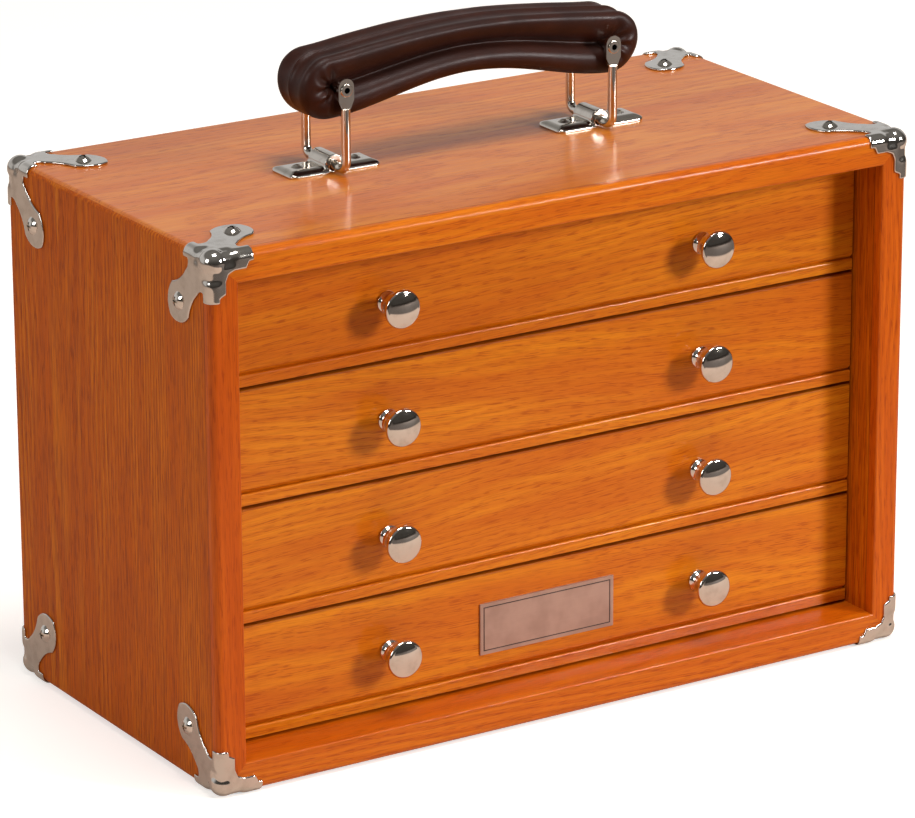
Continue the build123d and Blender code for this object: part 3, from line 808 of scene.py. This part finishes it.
# %% [markdown]
# ## The rings of the grip
# A seam runs round the grip's rim, a rolled shoulder follows the rim on each side, and inside the
# shoulder the leather is drawn in to the hollow. Rings that follow the outline give exactly those
# shapes: the first ring is the seam, and each further ring lies a little further out from the
# middle plane and further in from the outline. The upper shoulder stands nearer to the rim than
# the lower one, so there are two lists, and each point uses a blend of them.

# %% The rings of the grip
# Each ring: its distance out from the grip's middle plane, and how far in from the outline,
# first where the grip faces up, then where it faces down. Millimetres.
rings_up = [
    (0.0, -0.3), (0.5, 0.0), (1.1, 0.7), (3.3, 1.3), (6.4, 1.0), (8.6, 0.2), (10.2, 0.0), (11.8, 0.6),
    (12.9, 1.9), (12.9, 3.6), (12.2, 5.6), (11.0, 7.8), (9.4, 9.6), (7.6, 10.9), (6.6, 12.0),
]
rings_down = [
    (0.0, 0.0), (0.5, 0.0), (1.4, 0.0), (3.4, 0.0), (5.6, 0.0), (7.6, 0.1), (9.4, 0.6), (11.2, 1.7),
    (12.5, 3.4), (13.1, 5.4), (12.9, 7.4), (11.9, 9.0), (10.2, 10.3), (8.2, 11.2), (6.6, 12.0),
]
hollow_reach = 12.0
blend_speed = 1.6  # how soon a round end changes from the upper list to the lower


def grip_ring(number):
    """Where every point of one ring goes."""
    places = []
    for outline, inner, facing in round_points:
        up = 0.5 + 0.5 * max(-1.0, min(1.0, facing * blend_speed))
        out = rings_up[number][0] * up + rings_down[number][0] * (1 - up)
        inset = rings_up[number][1] * up + rings_down[number][1] * (1 - up)
        spot = outline.lerp(inner, inset / hollow_reach)
        spot.y = -out
        places.append(spot * mm)
    return places


print("rings on each side", len(rings_up))

# %% [markdown]
# ## Folds in the leather
# Leather that is pulled over a round end and pinned there gathers into small folds that run out
# from the pin like spokes. A sine wave round the pin gives the folds, and noise makes them
# unequal. A slower noise over the whole grip takes away the look of a machined part.

# %% Folds in the leather
fold_centre = eye_x + 2.0
folds_round_eye = 9
fold_height = 0.75
fold_from_eye = 7.0
fold_width = 3.2
fold_limit = -4.0  # on the side of the eye towards the grip's middle
end_shift = 1.3  # turns the folds of the two ends differently
fold_wander, wander_scale = 2.0, 0.2
fan_share = 0.6  # how fast the folds fade round the pin
skin_from = 6.0  # the seam and the rim between the shoulders stay even
slow_scale, slow_height = 0.045, 0.5
quick_scale, quick_height = 0.14, 0.22
sway_out = 0.5
sway_up = 0.35


def pucker(shape):
    """Small folds that run out from each eye, and the slow unevenness of a hand-worked skin."""
    for vertex in shape.verts:
        spot = vertex.co / mm
        side = 1 if spot.x > 0 else -1
        across = side * (spot.x - side * fold_centre)
        up = spot.z - eye_z
        away = math.hypot(across, up)
        angle = math.atan2(up, across)
        wander = fold_wander * noise.noise(spot * wander_scale)
        fold = math.sin(angle * folds_round_eye + end_shift * side + wander)
        fan = max(0.0, math.cos(angle * fan_share)) if across > fold_limit else 0.0
        window = math.exp(-((away - fold_from_eye) / fold_width) ** 2) * fan
        sway = noise.noise(spot * slow_scale) * slow_height
        sway += noise.noise(spot * quick_scale) * quick_height
        if -spot.y > skin_from:
            vertex.co.y -= (fold_height * window * fold + sway_out * sway) * mm
        vertex.co.z += sway_up * sway * mm


print("folds round each eye", folds_round_eye)

# %% [markdown]
# ## The grip
# The grip could be sewn and filled as cloth, but its shoulders and seam are crisper than a
# pressed cloth gives, so it is modelled. A circle is laid along the seam. Its edges are extruded
# once for each ring, and the new points are put in their places. The last ring closes on the
# hollow's own line, where doubles are merged. Half is made in this way and mirrored, and a
# subdivision surface rounds the whole.

# %% The grip
close_reach = 0.02 * mm
sliver_reach = 0.01 * mm
grip_rounding = 2


def extrude_ring(shape, ring, spots):
    """Extrudes a closed ring of points once, puts the new points in place and returns them."""
    shape.edges.ensure_lookup_table()
    members = set(ring)
    loop = [e for e in shape.edges if e.verts[0] in members and e.verts[1] in members]
    made = bmesh.ops.extrude_edge_only(shape, edges=loop)
    fresh = {v for v in made["geom"] if isinstance(v, bmesh.types.BMVert)}
    following = []
    for vertex, spot in zip(ring, spots):
        twins = (edge.other_vert(vertex) for edge in vertex.link_edges)
        twin = next(other for other in twins if other in fresh)
        twin.co = spot
        following.append(twin)
    return following


def make_grip():
    """The padded grip, seam to hollow on one side, and mirrored."""
    shape = bmesh.new()
    ring = bmesh.ops.create_circle(shape, segments=len(round_points), radius=1.0)["verts"]
    for vertex, spot in zip(ring, grip_ring(0)):
        vertex.co = spot
    for number in range(1, len(rings_up)):
        ring = extrude_ring(shape, ring, grip_ring(number))
    bmesh.ops.remove_doubles(shape, verts=shape.verts, dist=close_reach)
    bmesh.ops.dissolve_degenerate(shape, dist=sliver_reach, edges=shape.edges)
    pucker(shape)
    half = shape.verts[:] + shape.edges[:] + shape.faces[:]
    bmesh.ops.mirror(shape, geom=half, axis="Y", merge_dist=sliver_reach)
    bmesh.ops.remove_doubles(shape, verts=shape.verts, dist=close_reach)
    bmesh.ops.recalc_face_normals(shape, faces=shape.faces)
    piece = new_piece("leather_grip", shape, brown_leather)
    rounding = piece.modifiers.new("rounding", "SUBSURF")
    rounding.levels = grip_rounding
    rounding.render_levels = grip_rounding
    return piece


leather_grip = make_grip()
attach(leather_grip, "handle_grip")
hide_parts("grip")
print("grip cage faces", len(leather_grip.data.polygons))

# %% [markdown]
# ## Felt in the drawers
# A piece of wool felt lies on the floor of each drawer. Its fibres stand up a little, which the
# sheen on its shader gives, and it is never quite flat. A grid is bent by slow noise and given
# its thickness by a Solidify modifier. Each drawer reads the noise at another height, so that no
# two pieces lie alike.

# %% Felt in the drawers
felt_share = 0.8  # of the liner's height, which leaves room for the waves
felt_squares = (58, 24)
wave_scale = 0.03
drawer_apart = 90.0


def felt():
    """Green wool felt with lighter tufts."""
    material, tree, shader = new_finish("green_felt")
    place = wire(tree, "TexCoord", out=3)
    tufts = speckle(tree, place, 1800.0, 4.0, 0.7)
    cloudy = speckle(tree, place, 70.0, 3.0, 0.6)
    colour = mixed(tree, ranged(tree, cloudy, 0.3, 0.7), screen(36, 92, 50), screen(27, 73, 39))
    colour = mixed(tree, ranged(tree, tufts, 0.5, 0.75, 0.0, 0.5), colour, screen(62, 118, 72))
    fill(
        tree, shader, Base_Color=colour, Roughness=0.95, Sheen_Weight=0.25, Sheen_Roughness=0.5,
        Normal=relief(tree, tufts, 0.3 * mm, 0.8),
    )
    return material


green_felt = felt()


def lay_felt(number):
    """One piece of felt, in the place of the drawer's liner."""
    low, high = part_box(f"drawer_{number}_liner")
    size = high - low
    thickness = size.z * felt_share
    shape = bmesh.new()
    bmesh.ops.create_grid(shape, x_segments=felt_squares[0], y_segments=felt_squares[1], size=0.5)
    middle = Matrix.Translation(((low.x + high.x) / 2, (low.y + high.y) / 2, low.z + thickness))
    bmesh.ops.transform(shape, matrix=middle @ Matrix.Diagonal((size.x, size.y, 1, 1)), verts=shape.verts)
    for vertex in shape.verts:
        spot = vertex.co / mm + Vector((0, 0, drawer_apart * number))
        vertex.co.z += (0.5 + 0.5 * noise.noise(spot * wave_scale)) * (size.z - thickness)
    piece = new_piece(f"drawer_{number}_felt", shape, green_felt)
    body = piece.modifiers.new("thickness", "SOLIDIFY")
    body.thickness = thickness
    body.offset = -1
    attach(piece, f"drawer_{number}")
    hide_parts(f"drawer_{number}_liner")
    return size


for number in drawer_logs:
    felt_size = lay_felt(number)
print("felt", round(felt_size.x, 4), "by", round(felt_size.y, 4), "m")

# %% [markdown]
# ## The floor
# The chest stands on white paper. The paper is a plain diffuse white that keeps the chest's
# shadow, and rays from the camera see it lifted to full white by a weak glow. Bright metal shows
# what lies round the chest, so two things are there for the nickel: the paper ends half a metre in
# front, where the floor of the room is dark, and mirrored rays see the paper in a painted darker,
# warmer colour that stands for the orange wood's light bounced onto it. Light Path tells the kinds
# of rays apart.

# %% The floor
paper_turn = math.radians(-24)  # the paper's front edge isn't square to the chest
paper_front = (-0.52, -0.44)  # metres: dark up to here, paper from here
dark_floor = (0.12, 0.1, 0.09, 1)
paper_colour = (0.8, 0.73, 0.66, 1)
painted_warm_paper_for_mirrors = (0.6, 0.45, 0.36, 1)
glow_off_paper, glow_on_paper = 0.95, 0.55
mirrored_glow = 0.06
floor_size = 15  # half a side, in metres


def white_floor():
    """White paper on a dark floor that the camera sees as white all over."""
    material, tree, shader = new_finish("white_floor")
    fill(tree, shader, Roughness=0.9, Specular_IOR_Level=0.1)
    place = wire(tree, "TexCoord", out=3)
    facing = wire(tree, "Mapping", place, None, (0, 0, paper_turn))
    on_paper = ranged(tree, wire(tree, "SeparateXYZ", facing, out=1), *paper_front)
    rays = tree.nodes.new("ShaderNodeLightPath").outputs
    # Painted reflection: mirrored rays see the paper darker and warmer, standing for the wood's bounced
    # light.
    paper = mixed(tree, rays["Is Glossy Ray"], paper_colour, painted_warm_paper_for_mirrors)
    fill(tree, shader, Base_Color=mixed(tree, on_paper, dark_floor, paper))
    mirror_ray = wire(
        tree, "Math", rays["Is Glossy Ray"], rays["Is Transmission Ray"], operation="MAXIMUM",
    )
    faint = wire(tree, "Math", on_paper, mirrored_glow, operation="MULTIPLY")
    mirrored = wire(tree, "Math", mirror_ray, faint, operation="MULTIPLY")
    strong = ranged(tree, on_paper, 0.0, 1.0, glow_off_paper, glow_on_paper)
    shown = wire(tree, "Math", rays["Is Camera Ray"], strong, operation="MULTIPLY")
    lift = wire(tree, "Math", shown, mirrored, operation="ADD")
    glow = wire(tree, "Emission", (1, 1, 1, 1), lift)
    both = wire(tree, "AddShader", shader.outputs[0], glow)
    tree.links.new(both, tree.nodes["Material Output"].inputs[0])
    return material


shape = bmesh.new()
bmesh.ops.create_grid(shape, x_segments=1, y_segments=1, size=floor_size)
floor = new_piece("floor", shape, white_floor())
print("floor", 2 * floor_size, "m wide")

# %% [markdown]
# ## The lamps
# The main light is a small soft box low on the right, which is why the knobs throw their shadows
# to the left. A wider one hangs overhead and a weak, large one fills the left side. A larger lamp
# gives softer shadows, and a nearer one gives more light for the same power.

# %% The lamps
lamp_target = Vector((0, 0, 0.12))


def soft_box(name, turn, height, distance, width, tall, power):
    """A rectangular lamp that faces the chest, placed by its direction and its distance."""
    lamp = bpy.data.lights.new(name, "AREA")
    lamp.shape = "RECTANGLE"
    lamp.size = width
    lamp.size_y = tall
    lamp.energy = power
    turn = math.radians(turn)
    height = math.radians(height)
    out = Vector((math.sin(turn) * math.cos(height), -math.cos(turn) * math.cos(height), math.sin(height)))
    placed = bpy.data.objects.new(name, lamp)
    bpy.context.scene.collection.objects.link(placed)
    placed.location = lamp_target + out * distance
    placed.rotation_euler = out.to_track_quat("Z", "Y").to_euler()


soft_box("key_light", 38, 20, 2.3, 0.5, 0.5, 41)
soft_box("top_light", 6, 76, 2.2, 0.9, 0.7, 29)
soft_box("fill_light", -80, 26, 2.8, 1.0, 1.0, 20)
print("lamps", len(bpy.data.lights))

# %% [markdown]
# ## The room
# The world stands for the room round the studio. It is brightest low down behind the chest,
# where the backdrop is lit, and grows from nearly dark at the floor to a soft grey overhead. The
# camera itself sees plain white there. The Standard view shows the colours as they are written.

# %% The room
room_low, room_high = (0.06, 0.055, 0.05, 1), (0.2, 0.195, 0.185, 1)
room_rise = (0.05, 0.9)
backdrop_colour = (0.62, 0.62, 0.62, 1)
backdrop_side = (0.0, 0.45)  # how far the direction points backwards
backdrop_top = (0.42, 0.66)  # and how far upwards

world = bpy.data.worlds.new("studio")
world.use_nodes = True
bpy.context.scene.world = world
tree = world.node_tree
direction = wire(tree, "TexCoord", out=0)
backwards = wire(tree, "SeparateXYZ", direction, out=1)
upwards = wire(tree, "SeparateXYZ", direction, out=2)
behind = ranged(tree, backwards, *backdrop_side)
low_down = ranged(tree, upwards, *backdrop_top, 1.0, 0.0)
backdrop = wire(tree, "Math", behind, low_down, operation="MULTIPLY")
room = mixed(tree, ranged(tree, upwards, *room_rise), room_low, room_high)
level = mixed(tree, backdrop, room, backdrop_colour)
rays = tree.nodes.new("ShaderNodeLightPath").outputs
level = mixed(tree, rays["Is Camera Ray"], level, (1, 1, 1, 1))
background = tree.nodes["Background"]
tree.links.new(level, background.inputs[0])
background.inputs[1].default_value = 1.0
bpy.context.scene.view_settings.view_transform = "Standard"
print("world nodes", len(tree.nodes))
